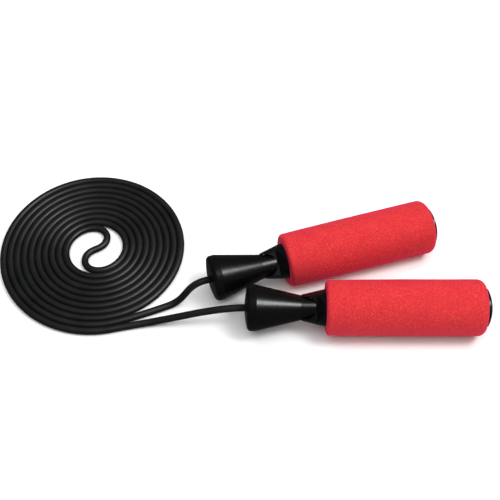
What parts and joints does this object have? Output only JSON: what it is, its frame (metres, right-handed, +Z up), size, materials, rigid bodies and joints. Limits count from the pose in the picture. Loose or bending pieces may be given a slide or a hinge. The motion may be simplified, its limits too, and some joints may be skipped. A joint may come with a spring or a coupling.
{
  "type": "jump rope",
  "caption": "Jump rope: a black cord wound flat in a two-arm spiral, with red foam grips and flared black ball-bearing swivel nozzles.",
  "frame": {"origin": "middle of the two handles' footprint on the floor they lie on, without the cord", "axes": "+Z up from the floor, +X along the front handle from its nose to its end cap, +Y towards the rear handle"},
  "size_m": [0.3503, 0.153, 0.0392],
  "materials": {
    "black_pvc": "satin extruded PVC cord",
    "black_abs": "satin injection-moulded ABS",
    "black_acetal": "moulded acetal",
    "red_foam": "closed-cell foam with fine open pores",
    "bearing_steel": "ground bearing steel",
    "brass_cage": "pressed brass",
    "zinc_steel": "zinc-plated steel",
    "ferrule_aluminium": "crimped aluminium"
  },
  "bodies": {
    "rope": {"cord_coil": "black_pvc", "cord_heart": "black_pvc", "cord_front_strand": "black_pvc", "cord_rear_strand": "black_pvc", "inner_race_front": "bearing_steel", "swivel_bush_front": "black_acetal", "dust_washer_front": "black_abs", "thrust_washer_front": "zinc_steel", "rope_ferrule_front": "ferrule_aluminium", "inner_race_rear": "bearing_steel", "swivel_bush_rear": "black_acetal", "dust_washer_rear": "black_abs", "thrust_washer_rear": "zinc_steel", "rope_ferrule_rear": "ferrule_aluminium"},
    "handle_front": {"nose_ring_front": "black_abs", "nozzle_front": "black_abs", "core_tube_front": "black_abs", "foam_grip_front": "red_foam", "end_cap_front": "black_abs", "outer_race_front": "bearing_steel"},
    "ball_set_front": {"bearing_balls_front": "bearing_steel", "ball_cage_front": "brass_cage"},
    "handle_rear": {"nose_ring_rear": "black_abs", "nozzle_rear": "black_abs", "core_tube_rear": "black_abs", "foam_grip_rear": "red_foam", "end_cap_rear": "black_abs", "outer_race_rear": "bearing_steel"},
    "ball_set_rear": {"bearing_balls_rear": "bearing_steel", "ball_cage_rear": "brass_cage"}
  },
  "joints": [
    {"name": "swivel_front", "type": "hinge", "parent": "rope", "child": "handle_front", "pos_m": [-0.0705, -0.0345, 0.0196], "axis": [1, 0, 0], "continuous": true},
    {"name": "ball_roll_front", "type": "hinge", "parent": "rope", "child": "ball_set_front", "pos_m": [-0.0705, -0.0345, 0.0196], "axis": [1, 0, 0], "continuous": true},
    {"name": "swivel_rear", "type": "hinge", "parent": "rope", "child": "handle_rear", "pos_m": [-0.0955, -0.0115, 0.0196], "axis": [0.9588, 0.284, 0], "continuous": true},
    {"name": "ball_roll_rear", "type": "hinge", "parent": "rope", "child": "ball_set_rear", "pos_m": [-0.0955, -0.0115, 0.0196], "axis": [0.9588, 0.284, 0], "continuous": true}
  ],
  "couplings": [
    {"joint": "ball_roll_front", "follows": "swivel_front", "ratio": 0.63233},
    {"joint": "ball_roll_rear", "follows": "swivel_rear", "ratio": 0.63233}
  ]
}
